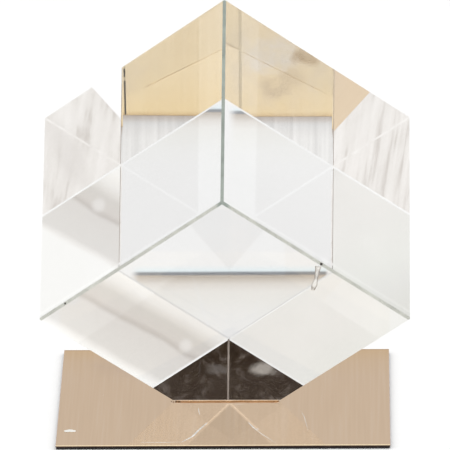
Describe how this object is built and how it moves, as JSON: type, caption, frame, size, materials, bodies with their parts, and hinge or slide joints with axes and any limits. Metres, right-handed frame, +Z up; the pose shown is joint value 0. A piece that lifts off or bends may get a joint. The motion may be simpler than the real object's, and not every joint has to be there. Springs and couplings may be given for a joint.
{
  "type": "crystal block sculpture on mirror base",
  "caption": "Solid clear crystal cube standing on one ground-off corner, bonded to a thin bronze mirror plate with a black backing.",
  "frame": {"origin": "on the surface the object stands on, straight below the block's upright body diagonal, which is the centre of the bounding box's bottom", "axes": "+Z up along the block's body diagonal; -Y is the front, where three faces of the block meet at a corner; +X to the right seen from the front, along the plate's front edge"},
  "size_m": [0.1406, 0.1618, 0.157],
  "materials": {
    "crystal": "clear, ground and polished",
    "bond": "clear cured film",
    "bronze_mirror": "polished bronze-tinted mirror",
    "backing": "matt black sheet"
  },
  "bodies": {
    "root": {"crystal_block": "crystal", "foot_bond": "bond", "mirror_pane": "bronze_mirror", "backing_sheet": "backing"}
  },
  "joints": []
}
